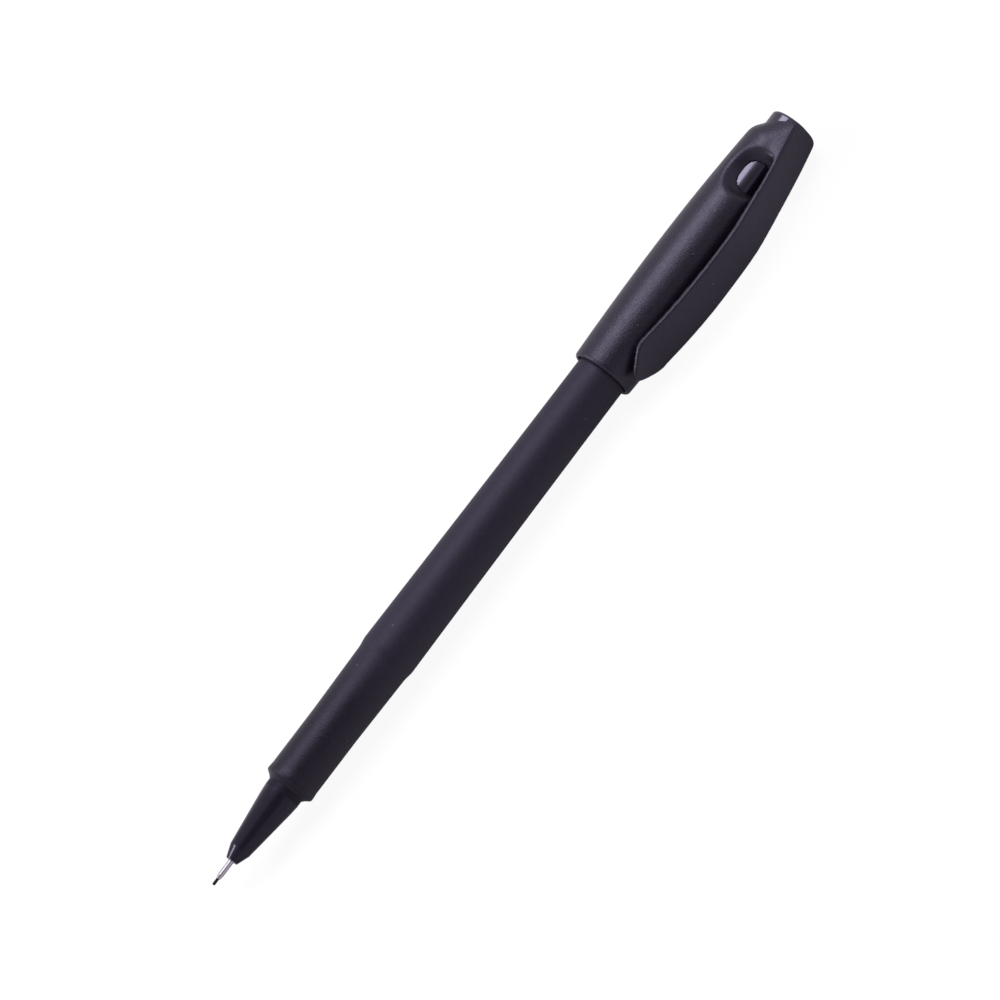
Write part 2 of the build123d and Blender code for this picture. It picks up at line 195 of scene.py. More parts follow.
def room_colour(tree):
    """Gives white to camera and transmission rays, and the room's cool tint to the others."""
    return mix_colours(tree, by_ray(tree, 0.0, 1.0, 1.0), WHITE, ROOM_TINT)


# %% [markdown]
# ## Floor and surroundings
# The pen lies on a plain white ground. A floor that only glows would show no shadow, and a floor
# that is only painted would need much light to look white. So the floor mixes the two: rays that
# come from the camera, or from a shiny surface, see mostly the glow, and the paint keeps a faint
# shadow. All other rays see only the paint, so the glow adds no light to the pen. Close to the pen
# a painted shade darkens the glow that shiny surfaces see. It lies a little to the far side, and
# the glow on the far side is painted a little darker still. The cap and its clip are wider than
# the barrel, and so is their painted shade, which narrows again with the cap's end.

# %% Floor
FLOOR_SIZE = 6.0
FLOOR_COLOUR, FLOOR_ROUGHNESS = (0.9, 0.9, 0.9, 1), 0.9
FLOOR_GLOW = 0.93
SHADE_NEAR, SHADE_FAR = 4 * MM, 13 * MM
SHADE_MIDDLE_Y, SHADE_GLOW = 2 * MM, 0.3
FAR_SIDE_START, FAR_SIDE_FULL, FAR_SIDE_GLOW = 5 * MM, 20 * MM, 0.86
CAP_SHADE_WIDTH, CAP_SHADE_START, CAP_SHADE_FULL = 1.7, 60 * MM, 90 * MM
END_SHADE_WIDTH, END_SHADE_START, END_SHADE_FULL = 0.7, 108 * MM, 128 * MM
bpy.ops.mesh.primitive_plane_add(size=FLOOR_SIZE, location=(0, 0, cad_box[0][2]))
floor = bpy.context.object
floor.name = "floor"
floor_paint = bpy.data.materials.new("floor_paint")
floor_paint.use_nodes = True
floor.data.materials.append(floor_paint)
print("floor at", round(cad_box[0][2] / MM, 2), "mm")

# %% Paint and glow
tree = floor_paint.node_tree
paint = tree.nodes["Principled BSDF"]
paint.inputs["Base Color"].default_value = FLOOR_COLOUR
paint.inputs["Roughness"].default_value = FLOOR_ROUGHNESS
paint.inputs["Specular IOR Level"].default_value = 0
floor_x, floor_y = place_on(tree, "X"), place_on(tree, "Y")
width = ramp(tree, floor_x, CAP_SHADE_START, CAP_SHADE_FULL, 1.0, CAP_SHADE_WIDTH)
narrowing = ramp(tree, floor_x, END_SHADE_START, END_SHADE_FULL, 1.0, END_SHADE_WIDTH)
# Painted shade: the glow that shiny rays see is darkened near the pen, and a little more on its far side.
from_pen = math(tree, "ABSOLUTE", math(tree, "SUBTRACT", floor_y, SHADE_MIDDLE_Y))
from_pen = math(tree, "DIVIDE", from_pen, math(tree, "MULTIPLY", width, narrowing))
far_side_shade = ramp(tree, floor_y, FAR_SIDE_START, FAR_SIDE_FULL, 1.0, FAR_SIDE_GLOW)
shade = math(tree, "MULTIPLY", ramp(tree, from_pen, SHADE_NEAR, SHADE_FAR, SHADE_GLOW), far_side_shade)
glow = tree.nodes.new("ShaderNodeEmission")
tree.links.new(by_ray(tree, 1.0, shade, 0.0), glow.inputs["Strength"])
tree.links.new(room_colour(tree), glow.inputs["Color"])
mix = tree.nodes.new("ShaderNodeMixShader")
tree.links.new(by_ray(tree, FLOOR_GLOW, FLOOR_GLOW, 0.0), mix.inputs["Fac"])
tree.links.new(paint.outputs["BSDF"], mix.inputs[1])
tree.links.new(glow.outputs["Emission"], mix.inputs[2])
tree.links.new(mix.outputs["Shader"], tree.nodes["Material Output"].inputs["Surface"])
print("floor paint of", len(tree.nodes), "nodes")

# %% [markdown]
# The room round the pen is bright as well, but the pen's black plastic mirrors a dark patch: the
# stretch of room on the side that the pen is looked at from. It gives the nose and the barrel their
# dark band, so the world gets such a patch at a fixed place, for shiny rays only.

# %% World
WORLD_LIGHT = 0.3
PATCH_SIDE = Vector((-0.17, -0.70, 0.69)).normalized()
PATCH_RADIUS, PATCH_EDGE = radians(11), radians(37)
PATCH_GLOW = 0.10
world = bpy.context.scene.world or bpy.data.worlds.new("world")
bpy.context.scene.world = world
world.use_nodes = True
tree = world.node_tree
sky = tree.nodes["Background"]
tree.links.new(room_colour(tree), sky.inputs["Color"])
facing = tree.nodes.new("ShaderNodeVectorMath")
facing.operation = "DOT_PRODUCT"
facing.inputs[1].default_value = PATCH_SIDE
tree.links.new(tree.nodes.new("ShaderNodeTexCoord").outputs["Generated"], facing.inputs[0])
room = ramp(tree, facing.outputs["Value"], cos(PATCH_EDGE), cos(PATCH_RADIUS), 1.0, PATCH_GLOW)
tree.links.new(by_ray(tree, 1.0, room, WORLD_LIGHT), sky.inputs["Strength"])
bpy.context.scene.view_settings.view_transform = "Standard"
print("world light", WORLD_LIGHT)

# %% [markdown]
# ## Lamps
# On the real pen one broad soft band of light runs along the top of the barrel and the cap, a
# little to the far side of the middle, and it is brightest at the cap. So a large lamp hangs above
# the pen, just behind it and towards the cap. The nose's front edge has a short streak of its own,
# which only a second lamp can give: a narrow one that hangs over the nib's side.

# %% Lamps
def soft_lamp(name, place, width, depth, power):
    """Adds a rectangular lamp that faces the middle of the pen."""
    lamp_data = bpy.data.lights.new(name, "AREA")
    lamp_data.shape = "RECTANGLE"
    lamp_data.size = width
    lamp_data.size_y = depth
    lamp_data.energy = power
    lamp_data.color = ROOM_TINT[:3]
    lamp = bpy.data.objects.new(name, lamp_data)
    scene_collection.objects.link(lamp)
    lamp.location = place
    lamp.rotation_euler = (target - Vector(place)).to_track_quat("-Z", "Y").to_euler()
    return lamp


soft_lamp("overhead_lamp", place=(0.32, 0.07, 0.77), width=0.5, depth=0.5, power=6)
soft_lamp("nib_side_lamp", place=(-0.40, 0.36, 0.67), width=0.45, depth=0.1, power=5.5)
print("lamps", [light.name for light in bpy.data.lights])

# %% [markdown]
# ## The moulded cap and clip
# On the real pen the cap and its clip are one moulding: the clip grows out of the cap's end in one
# flowing form, and the eyelet's rim runs into the clip's edge without a seam. The CAD model cuts
# the clip off at its root so that it can flex, and its edges there are crisp. Bevelling such a
# mesh edge by edge is slow work, so here copies of both are joined, remeshed as one fine skin and
# smoothed, as if the mould had been polished. Then the skin is cut into cap and clip again.

# %% Helpers for working on a mesh
MERGE_DISTANCE = 0.001 * MM


def only(*pieces):
    """Makes these objects the only selected ones, and the first one active."""
    bpy.ops.object.select_all(action="DESELECT")
    for piece in pieces:
        piece.select_set(True)
    bpy.context.view_layer.objects.active = pieces[0]


def copy_of(node_name, name):
    """Copies a CAD node's mesh into a new object and merges its loose triangles."""
    piece = bpy.data.objects.new(name, nodes[node_name].data.copy())
    scene_collection.objects.link(piece)
    only(piece)
    bpy.ops.object.mode_set(mode="EDIT")
    bpy.ops.mesh.select_all(action="SELECT")
    bpy.ops.mesh.remove_doubles(threshold=MERGE_DISTANCE)
    bpy.ops.object.mode_set(mode="OBJECT")
    return piece


def select_where(piece, kind, test):
    """Selects in edit mode the points or faces whose place passes a test, and leaves edit mode on."""
    only(piece)
    bpy.ops.object.mode_set(mode="EDIT")
    bpy.ops.mesh.select_mode(type=kind)
    bpy.ops.mesh.select_all(action="DESELECT")
    bpy.ops.object.mode_set(mode="OBJECT")
    if kind == "VERT":
        for vertex in piece.data.vertices:
            vertex.select = test(vertex.co)
    else:
        for face in piece.data.polygons:
            face.select = test(face.center)
    bpy.ops.object.mode_set(mode="EDIT")


def apply_modifier(piece, kind, **settings):
    """Adds one modifier to a piece and applies it."""
    modifier = piece.modifiers.new(kind.lower(), kind)
    for key, value in settings.items():
        setattr(modifier, key, value)
    only(piece)
    bpy.ops.object.modifier_apply(modifier=modifier.name)


def cut(piece, tool, operation):
    """Applies a boolean with a tool and removes the tool."""
    apply_modifier(piece, "BOOLEAN", operation=operation, solver="EXACT", object=tool)
    bpy.data.objects.remove(tool)


def rod(start_x, end_x, radius, sides):
    """Adds a closed cylinder on the pen's axis."""
    bpy.ops.mesh.primitive_cylinder_add(
        vertices=sides,
        radius=radius,
        depth=end_x - start_x,
        location=((start_x + end_x) / 2, 0, 0),
        rotation=(0, pi / 2, 0),
    )
    return bpy.context.object


def open_edges(piece):
    """Counts the edges that do not have exactly two faces; a closed mesh has none."""
    uses = {}
    for face in piece.data.polygons:
        for key in face.edge_keys:
            uses[key] = uses.get(key, 0) + 1
    return sum(1 for edge in piece.data.edges if uses.get(tuple(sorted(edge.vertices)), 0) != 2)


def fade(value, start, length):
    """Rises from 0 at a start to 1 a length further on; a negative length runs the other way."""
    return min(max((value - start) / length, 0), 1)


# %% [markdown]
# ### The eyelet's inner edge
# The eyelet narrows like a funnel, and its inner edge frames the polished inner cap. On the real
# cap that edge reaches further in than in the CAD model, so the funnel's wall is drawn towards the
# eyelet's own axis. Each point keeps its distance from the pen's axis, so the bore stays round.

# %% Draw in the eyelet's inner edge
EYELET_X, EYELET_Y = 122.55 * MM, -5.2 * MM
EYELET_REACH, EYELET_SKIN, EYELET_FADE = 6.5 * MM, 5.1 * MM, 1.0 * MM
EYELET_DRAW = 0.6 * MM
moulding = copy_of("cap_shell", "moulding")
drawn = 0
for vertex in moulding.data.vertices:
    outward = Vector((vertex.co.x - EYELET_X, vertex.co.y - EYELET_Y))
    from_axis = vertex.co.yz.length
    depth = fade(from_axis, EYELET_SKIN, -EYELET_FADE) * fade(outward.length, EYELET_REACH, -EYELET_FADE)
    outward *= 1 - EYELET_DRAW * depth / outward.length
    y = EYELET_Y + outward.y
    if depth and abs(y) < from_axis:
        vertex.co = (EYELET_X + outward.x, y, copysign(sqrt(from_axis**2 - y**2), vertex.co.z))
        drawn += 1
print("drew in", drawn, "points of the eyelet")

# %% [markdown]
# ### The clip's heel and tongue
# A small pad under the clip's heel holds a pocket's hem. It is smaller than the skin's mesh can
# carry, so it is levelled here and put back later. The clip's free end is a rounded tongue, which
# is drawn out most in its middle.

# %% Level the pad and draw out the tongue
HEEL_X = 87.95 * MM
CLIP_INSIDE_AT_HEEL = 6.47 * MM
PAD_REACH = Vector((0.9 * MM, 0, 2.1 * MM))
TONGUE_X = 87.25 * MM
TONGUE_LENGTH = 4.2 * MM
TONGUE_HALF_WIDTH = 3.0 * MM
TONGUE_DRAW = 1.0 * MM
clip_copy = copy_of("clip", "clip_copy")
for vertex in clip_copy.data.vertices:
    near_heel = abs(vertex.co.x - HEEL_X) < PAD_REACH.x and abs(vertex.co.z) < PAD_REACH.z
    if near_heel and -vertex.co.y < CLIP_INSIDE_AT_HEEL:
        vertex.co.y = -CLIP_INSIDE_AT_HEEL
    reach = fade(vertex.co.x, TONGUE_X, -TONGUE_LENGTH)
    middle = max(1 - (vertex.co.z / TONGUE_HALF_WIDTH) ** 2, 0)
    vertex.co.x -= TONGUE_DRAW * reach**2 * middle
print("clip's tip at", round(min(vertex.co.x for vertex in clip_copy.data.vertices) / MM, 2), "mm")

# %% [markdown]
# ### The cap's end
# At its end the cap's wall is thinner than the skin's mesh can hold, so a rod fills its bore until
# the skin is made. Beside the clip's root the real cap swells into soft cheeks. Each cheek is the
# convex hull of the cap's own points there, on one side of the clip.

# %% Fill the bore, add the cheeks and join all
SEAM_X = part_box("clip")[1][0]
SHELL_END_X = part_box("cap_shell")[1][0]
PLUG_BORE = 3.89 * MM
FILL_START_X, FILL_OVERLAP, FILL_SIDES = 129.6 * MM, 0.06 * MM, 96
CHEEK_START, CHEEK_TOP, CHEEK_SIDE = 129 * MM, 0.8 * MM, 0.5 * MM
filling = rod(FILL_START_X, SHELL_END_X, PLUG_BORE + FILL_OVERLAP, FILL_SIDES)
cheeks = []
for side in (1, -1):
    cheek = copy_of("cap_shell", "cheek")
    select_where(cheek, "VERT", lambda p: p.x < CHEEK_START or p.y > CHEEK_TOP or side * p.z < CHEEK_SIDE)
    bpy.ops.mesh.delete(type="VERT")
    bpy.ops.mesh.select_all(action="SELECT")
    bpy.ops.mesh.convex_hull()
    bpy.ops.object.mode_set(mode="OBJECT")
    cheeks.append(cheek)
only(moulding, clip_copy, filling, *cheeks)
bpy.ops.object.join()
print("joined", len(moulding.data.polygons), "faces")

# %% [markdown]
# ### One smooth skin
# All of the skin is smoothed a little, and three places more: the clip's root, the cheeks and the
# eyelet's rim. Each place is a weight between 0 and 1, worked out in millimetres from a point's
# station along the pen, its height towards the clip, its side and its distance from the axis.

# %% Weights for smoothing
GAP_HEIGHTS = [(80, 6.2), (88, 6.2), (105, 7.05), (113, 6.85), (118, 6.3), (124.6, 5.4)]
ROOT_START, ROOT_RISE, ROOT_SKIN = 115, 4, 4.2
END_KEPT, END_HEIGHT = 0.45, 3.4
CHEEK_MIDDLE, CHEEK_RADIUS, CHEEK_FADE = Vector((131.1, -1.8, 4.2)), 2.4, 0.5
RIM_START, RIM_END, RIM_SIDE, RIM_SKIN, RIM_BELOW_CLIP = 116.5, 129, 2.6, 4.6, 0.3
RIM_FADE, RIM_SKIN_FADE = 0.5, 2 / 3


def gap_height(x):
    """Height of the middle of the gap between the cap and the clip at a station, both in mm."""
    for (x0, h0), (x1, h1) in zip(GAP_HEIGHTS, GAP_HEIGHTS[1:]):
        if x <= x1:
            return h0 + (h1 - h0) * (x - x0) / (x1 - x0)
    return GAP_HEIGHTS[-1][1]


def root_weight(point):
    """Is 1 round the clip's root, and 0 in the bore and close to the cap's rim."""
    kept = 1 if -point.y > END_HEIGHT else fade(point.x, SHELL_END_X / MM - END_KEPT, -1)
    return fade(point.x, ROOT_START, ROOT_RISE) * kept * fade(point.yz.length, ROOT_SKIN, 1)


def cheek_weight(point):
    """Is 1 in the middle of each cheek."""
    place = Vector((point.x, point.y, abs(point.z)))
    return fade((place - CHEEK_MIDDLE).length / CHEEK_RADIUS, 1, -CHEEK_FADE)


def rim_weight(point):
    """Is 1 on the cap's outer skin round the eyelet, below the clip."""
    return min(
        fade(point.x, RIM_START, 1),
        fade(point.x, RIM_END, -1),
        fade(abs(point.z), RIM_SIDE, RIM_FADE),
        fade(-point.y, gap_height(point.x) - RIM_BELOW_CLIP, -RIM_FADE),
        fade(point.yz.length, RIM_SKIN, RIM_SKIN_FADE),
    )


# %% Remesh and smooth the skin
VOXEL = 0.22 * MM
SMOOTHING = 0.5
SKIN_ROUNDS = 7
SOFT_PLACES = [("root", 12, root_weight), ("cheek", 50, cheek_weight), ("rim", 25, rim_weight)]
apply_modifier(moulding, "REMESH", mode="VOXEL", voxel_size=VOXEL)
apply_modifier(moulding, "SMOOTH", factor=SMOOTHING, iterations=SKIN_ROUNDS)
for name, rounds, weight in SOFT_PLACES:
    group = moulding.vertex_groups.new(name=name)
    for vertex in moulding.data.vertices:
        group.add([vertex.index], weight(vertex.co / MM), "REPLACE")
    apply_modifier(moulding, "SMOOTH", factor=SMOOTHING, iterations=rounds, vertex_group=name)
print("skin", len(moulding.data.vertices), "points,", open_edges(moulding), "open edges")

# %% Cut the skin into clip and cap
SEAM_BAND = 4 * VOXEL


def above_gap(place):
    """Tells whether a place lies on the clip's side of the gap."""
    return -place.y > gap_height(place.x / MM) * MM


select_where(moulding, "FACE", lambda place: abs(place.x - SEAM_X) < SEAM_BAND and above_gap(place))
bpy.ops.mesh.bisect(plane_co=(SEAM_X, 0, 0), plane_no=(1, 0, 0))
bpy.ops.object.mode_set(mode="OBJECT")
select_where(moulding, "FACE", lambda place: place.x < SEAM_X and above_gap(place))
bpy.ops.mesh.separate(type="SELECTED")
bpy.ops.object.mode_set(mode="OBJECT")
clip_piece = next(piece for piece in bpy.context.selected_objects if piece != moulding)
clip_piece.name = "moulded_clip"
cap_piece = moulding
cap_piece.name = "moulded_cap"
for piece in (cap_piece, clip_piece):
    only(piece)
    bpy.ops.object.mode_set(mode="EDIT")
    bpy.ops.mesh.select_mode(type="EDGE")
    bpy.ops.mesh.select_all(action="DESELECT")
    bpy.ops.mesh.select_non_manifold(use_multi_face=False, use_non_contiguous=False, use_verts=False)
    bpy.ops.mesh.edge_face_add()
    bpy.ops.mesh.select_all(action="SELECT")
    bpy.ops.mesh.normals_make_consistent(inside=False)
    bpy.ops.object.mode_set(mode="OBJECT")
    print(piece.name, len(piece.data.polygons), "faces,", open_edges(piece), "open edges")

# %% [markdown]
# ### The slanted end and the bore
# The cap's end is cut at a slant that stops at a step beside the clip's root, and the inner cap
# stands out of it. Both edges are crisp on the real cap, so they are cut after the smoothing: the
# slant by a wedge, and the bore by a rod of its own size.

# %% Cut the end and open the bore
END_SLANT = radians(23.4)
STEP_HEIGHT, RIM_DROP, REACH = 2.3 * MM, 1.2 * MM, 8 * MM
BORE_OVERRUN, BORE_SIDES = 1.5 * MM, 128
SKIN_SHARP_ANGLE = radians(40)
bpy.ops.mesh.primitive_cube_add(size=1)
wedge = bpy.context.object
for vertex in wedge.data.vertices:
    y = REACH if vertex.co.y > 0 else -STEP_HEIGHT
    slant_x = SHELL_END_X - RIM_DROP - (y + STEP_HEIGHT) * tan(END_SLANT)
    vertex.co = (SHELL_END_X + REACH if vertex.co.x > 0 else slant_x, y, copysign(REACH, vertex.co.z))
cut(cap_piece, wedge, "DIFFERENCE")
print("cap", open_edges(cap_piece), "open edges after the slanted cut")
bore = rod(FILL_START_X - BORE_OVERRUN, SHELL_END_X + BORE_OVERRUN, PLUG_BORE, BORE_SIDES)
cut(cap_piece, bore, "DIFFERENCE")
for piece in (cap_piece, clip_piece):
    only(piece)
    bpy.ops.object.shade_smooth_by_angle(angle=SKIN_SHARP_ANGLE)
print("cap", len(cap_piece.data.polygons), "faces,", open_edges(cap_piece), "open edges after the bore")

# %% Put the pad back under the clip's heel
PAD_BOX_DROP, PAD_BOX_HALF_HEIGHT = 0.8 * MM, 1.0 * MM
pad = copy_of("clip", "pad")
bpy.ops.mesh.primitive_cube_add(
    size=2,
    location=(HEEL_X, PAD_BOX_DROP - CLIP_INSIDE_AT_HEEL, 0),
    scale=(PAD_REACH.x, PAD_BOX_HALF_HEIGHT, PAD_REACH.z),
)
cut(pad, bpy.context.object, "INTERSECT")
only(clip_piece, pad)
bpy.ops.object.join()
print("clip", len(clip_piece.data.polygons), "faces,", open_edges(clip_piece), "open edges with its pad")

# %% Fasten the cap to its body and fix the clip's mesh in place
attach(cap_piece, "cap")
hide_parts("cap_shell")
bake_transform(clip_piece)
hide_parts("clip")

# %% [markdown]
# ## The barrel and the nose
# Both are turned forms, so the barrel is made like on a lathe: half of its outline is drawn and
# spun round the axis. Its front edge is much rounder than a cut edge and ends in a small hollow
# against the nose, as moulded plastic does, so its corners get their own radii here. The long body
# behind the step tapers to the tail and is very slightly hollow along its length.

# %% Draw the barrel's outline
# Each corner has a station, a radius from the axis and a rounding, in mm.
BODY_X, BODY_RADIUS = 20.15, 5.0
TAIL_X, TAIL_RADIUS = 75.25, 4.59
BODY_HOLLOW, BODY_STEPS = 0.045, 12
BARREL_FRONT = [
    (-8.45, 3.335, 0),
    (-8.40, 3.42, 0),
    (-8.05, 3.72, 0.5),
    (-7.40, 4.60, 0.5),
    (-6.85, 4.60, 0.6),
    (-5.75, 4.51, 1.2),
    (-5.25, 4.52, 0),
    (5.25, 4.52, 8.0),
    (18.55, 4.75, 4.0),
    (BODY_X, BODY_RADIUS, 4.0),
]
BARREL_INSIDE = [
    (106.75, TAIL_RADIUS, 0.15),
    (106.75, 3.5, 0),
    (1.55, 3.5, 0),
    (1.55, 2.62, 0),
    (0.55, 2.62, 0),
    (0.55, 3.335, 0),
]


def round_corner(before, corner, after, radius, steps=6):
    """Gives the points of a curve that rounds one corner of an outline."""
    back, ahead = (before - corner).normalized(), (after - corner).normalized()
    reach = radius / tan(back.angle(ahead) / 2)
    start, end = corner + reach * back, corner + reach * ahead
    points = []
    for step in range(steps + 1):
        share = step / steps
        points.append((1 - share) ** 2 * start + 2 * share * (1 - share) * corner + share**2 * end)
    return points


outline = list(BARREL_FRONT)
for step in range(1, BODY_STEPS):
    share = step / BODY_STEPS
    straight = BODY_RADIUS + (TAIL_RADIUS - BODY_RADIUS) * share
    hollow = 4 * BODY_HOLLOW * share * (1 - share)
    outline.append((BODY_X + (TAIL_X - BODY_X) * share, straight - hollow, 0))
outline += [(TAIL_X, TAIL_RADIUS, 0)] + BARREL_INSIDE
corners = [Vector((x, radius)) for x, radius, rounding in outline]
points = []
for index, (x, radius, rounding) in enumerate(outline):
    if rounding:
        after = corners[(index + 1) % len(corners)]
        points += round_corner(corners[index - 1], corners[index], after, rounding)
    else:
        points.append(corners[index])
print("outline", len(points), "points")

# %% Spin the barrel
SPIN_STEPS = 160
BARREL_SHARP_ANGLE = radians(35)
barrel_mesh = bpy.data.meshes.new("turned_barrel")
loop = [(index, (index + 1) % len(points)) for index in range(len(points))]
barrel_mesh.from_pydata([(point.x * MM, 0, point.y * MM) for point in points], loop, [])
barrel_piece = bpy.data.objects.new("turned_barrel", barrel_mesh)
scene_collection.objects.link(barrel_piece)
only(barrel_piece)
bpy.ops.object.mode_set(mode="EDIT")
bpy.ops.mesh.select_all(action="SELECT")
bpy.ops.mesh.spin(steps=SPIN_STEPS, angle=2 * pi, center=(0, 0, 0), axis=(1, 0, 0))
bpy.ops.mesh.select_all(action="SELECT")
bpy.ops.mesh.remove_doubles(threshold=MERGE_DISTANCE)
bpy.ops.mesh.normals_make_consistent(inside=False)
bpy.ops.object.mode_set(mode="OBJECT")
bpy.ops.object.shade_smooth_by_angle(angle=BARREL_SHARP_ANGLE)
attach(barrel_piece, "pen")
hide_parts("barrel")
print("barrel", len(barrel_mesh.polygons), "faces,", open_edges(barrel_piece), "open edges")

# %% [markdown]
# The nose keeps its CAD mesh, but on the real pen its taper runs a little further up, so the
# straight stretch at its root is shorter. The ring of points where the taper ends is moved there.

# %% Draw out the nose's taper
LAND_X, LAND_RADIUS, LAND_SHIFT = -10.15 * MM, 3.32 * MM, 0.5 * MM
RING_WIDTH, RING_SHARE = 0.05 * MM, 0.95
NOSE_SHARP_ANGLE = radians(25)
nose_piece = copy_of("nose_section", "tapered_nose")
for vertex in nose_piece.data.vertices:
    if abs(vertex.co.x - LAND_X) < RING_WIDTH and vertex.co.yz.length > RING_SHARE * LAND_RADIUS:
        vertex.co.x += LAND_SHIFT
only(nose_piece)
bpy.ops.mesh.customdata_custom_splitnormals_clear()
bpy.ops.object.shade_smooth_by_angle(angle=NOSE_SHARP_ANGLE)
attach(nose_piece, "pen")
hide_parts("nose_section")
print("nose", len(nose_piece.data.polygons), "faces,", open_edges(nose_piece), "open edges")

# %% [markdown]
# ## Effects that the finishes share
# Two effects come up again and again: the fine grain that a blasted mould leaves on plastic, and
# the odd speck of dust. Each is a shader node group, built once, with its own values in each
# finish. A group gives out only masks and heights; the shader stays in the material.

# %% Helpers for effects
def new_group(name, inputs, outputs):
    """Makes an empty shader node group with float inputs and outputs."""
    group = bpy.data.node_groups.new(name, "ShaderNodeTree")
    for label, value in inputs.items():
        socket = group.interface.new_socket(label, in_out="INPUT", socket_type="NodeSocketFloat")
        socket.default_value = value
    for label in outputs:
        group.interface.new_socket(label, in_out="OUTPUT", socket_type="NodeSocketFloat")
    return group, group.nodes.new("NodeGroupInput"), group.nodes.new("NodeGroupOutput")


def noise(tree, place, scale, detail=2.0):
    """Adds a noise texture on a place; its features are about 1 / scale wide."""
    node = tree.nodes.new("ShaderNodeTexNoise")
    node.inputs["Detail"].default_value = detail
    tree.links.new(place, node.inputs["Vector"])
    feed(tree, scale, node.inputs["Scale"])
    return node


def vector_math(tree, operation, *values):
    """Adds a vector math node."""
    node = tree.nodes.new("ShaderNodeVectorMath")
    node.operation = operation
    for socket, value in zip(node.inputs, values):
        feed(tree, value, socket)
    return node.outputs[0]


# %% Moulded grain
FINE_DETAIL = 3.0
MOTTLE_COARSER = 3.0
CLOUDS_PER_M = 120.0
grain_group, grain_in, grain_out = new_group(
    "moulded_grain", {"Grain Size mm": 0.25, "Stretch": 1.0}, ("Height", "Mottle", "Cloud")
)
place = object_place(grain_group)
along_x = grain_group.nodes.new("ShaderNodeCombineXYZ")
along_x.inputs["Y"].default_value = 1
along_x.inputs["Z"].default_value = 1
feed(grain_group, math(grain_group, "DIVIDE", 1.0, grain_in.outputs["Stretch"]), along_x.inputs["X"])
stretched = vector_math(grain_group, "MULTIPLY", place, along_x.outputs[0])
fine_scale = math(grain_group, "DIVIDE", 1 / MM, grain_in.outputs["Grain Size mm"])
coarse_scale = math(grain_group, "DIVIDE", fine_scale, MOTTLE_COARSER)
for label, texture in (
    ("Height", noise(grain_group, stretched, fine_scale, FINE_DETAIL)),
    ("Mottle", noise(grain_group, stretched, coarse_scale)),
    ("Cloud", noise(grain_group, place, CLOUDS_PER_M)),
):
    grain_group.links.new(texture.outputs["Fac"], grain_out.inputs[label])
print(grain_group.name, "gives", [socket.name for socket in grain_out.inputs if socket.name])

# %% Dust specks
WARPS_PER_M, WARP_REACH = 6000, Vector((0.3, 0.3, 0.3)) * MM
EMPTY_SHARE = 0.8
dust_group, dust_in, dust_out = new_group(
    "dust_specks", {"Spacing mm": 2.2, "Speck Size": 0.06}, ("Speck",)
)
place = object_place(dust_group)
warp = noise(dust_group, place, WARPS_PER_M)
warped = vector_math(dust_group, "MULTIPLY_ADD", warp.outputs["Color"], WARP_REACH, place)
cells = dust_group.nodes.new("ShaderNodeTexVoronoi")
dust_group.links.new(warped, cells.inputs["Vector"])
feed(dust_group, math(dust_group, "DIVIDE", 1 / MM, dust_in.outputs["Spacing mm"]), cells.inputs["Scale"])
near = math(dust_group, "LESS_THAN", cells.outputs["Distance"], dust_in.outputs["Speck Size"])
split = dust_group.nodes.new("ShaderNodeSeparateColor")
dust_group.links.new(cells.outputs["Color"], split.inputs["Color"])
chosen = math(dust_group, "GREATER_THAN", split.outputs["Red"], EMPTY_SHARE)
dust_group.links.new(math(dust_group, "MULTIPLY", near, chosen), dust_out.inputs["Speck"])
print(dust_group.name, "gives", [socket.name for socket in dust_out.inputs if socket.name])

# %% [markdown]
# ## Black plastics
# The pen's black plastics have three kinds of finish, from how their moulds were made. The barrel,
# cap and clip are matte with a fine grain, the nose and inner cap are polished, and the point and
# the tail's plug are plain. They share one recipe: a nearly black base with a hint of violet, a
# weak shine, grain as bump and as small changes of roughness, and a little dust on the matte ones.
# Each piece has its own values, because the cap shines more than the barrel and the inner cap more
# than the nose.

# %% Recipe for a black plastic
SHINE_TINT = (0.84, 0.78, 1.0, 1)
DUST_COLOUR = (0.16, 0.15, 0.17, 1)
MOTTLE_DARK, MOTTLE_LIGHT = 0.8, 1.2
MOTTLE_ROUGHNESS, CLOUD_ROUGHNESS = 0.16, 0.06


def new_material(name):
    """Makes a material and gives it with its node tree and its shader."""
    material = bpy.data.materials.new(name)
    material.use_nodes = True
    return material, material.node_tree, material.node_tree.nodes["Principled BSDF"]


def place_group(tree, group, **values):
    """Places a node group in a material, with its own values; a name's underscores stand for spaces."""
    node = tree.nodes.new("ShaderNodeGroup")
    node.node_tree = group
    for label, value in values.items():
        node.inputs[label.replace("_", " ")].default_value = value
    return node


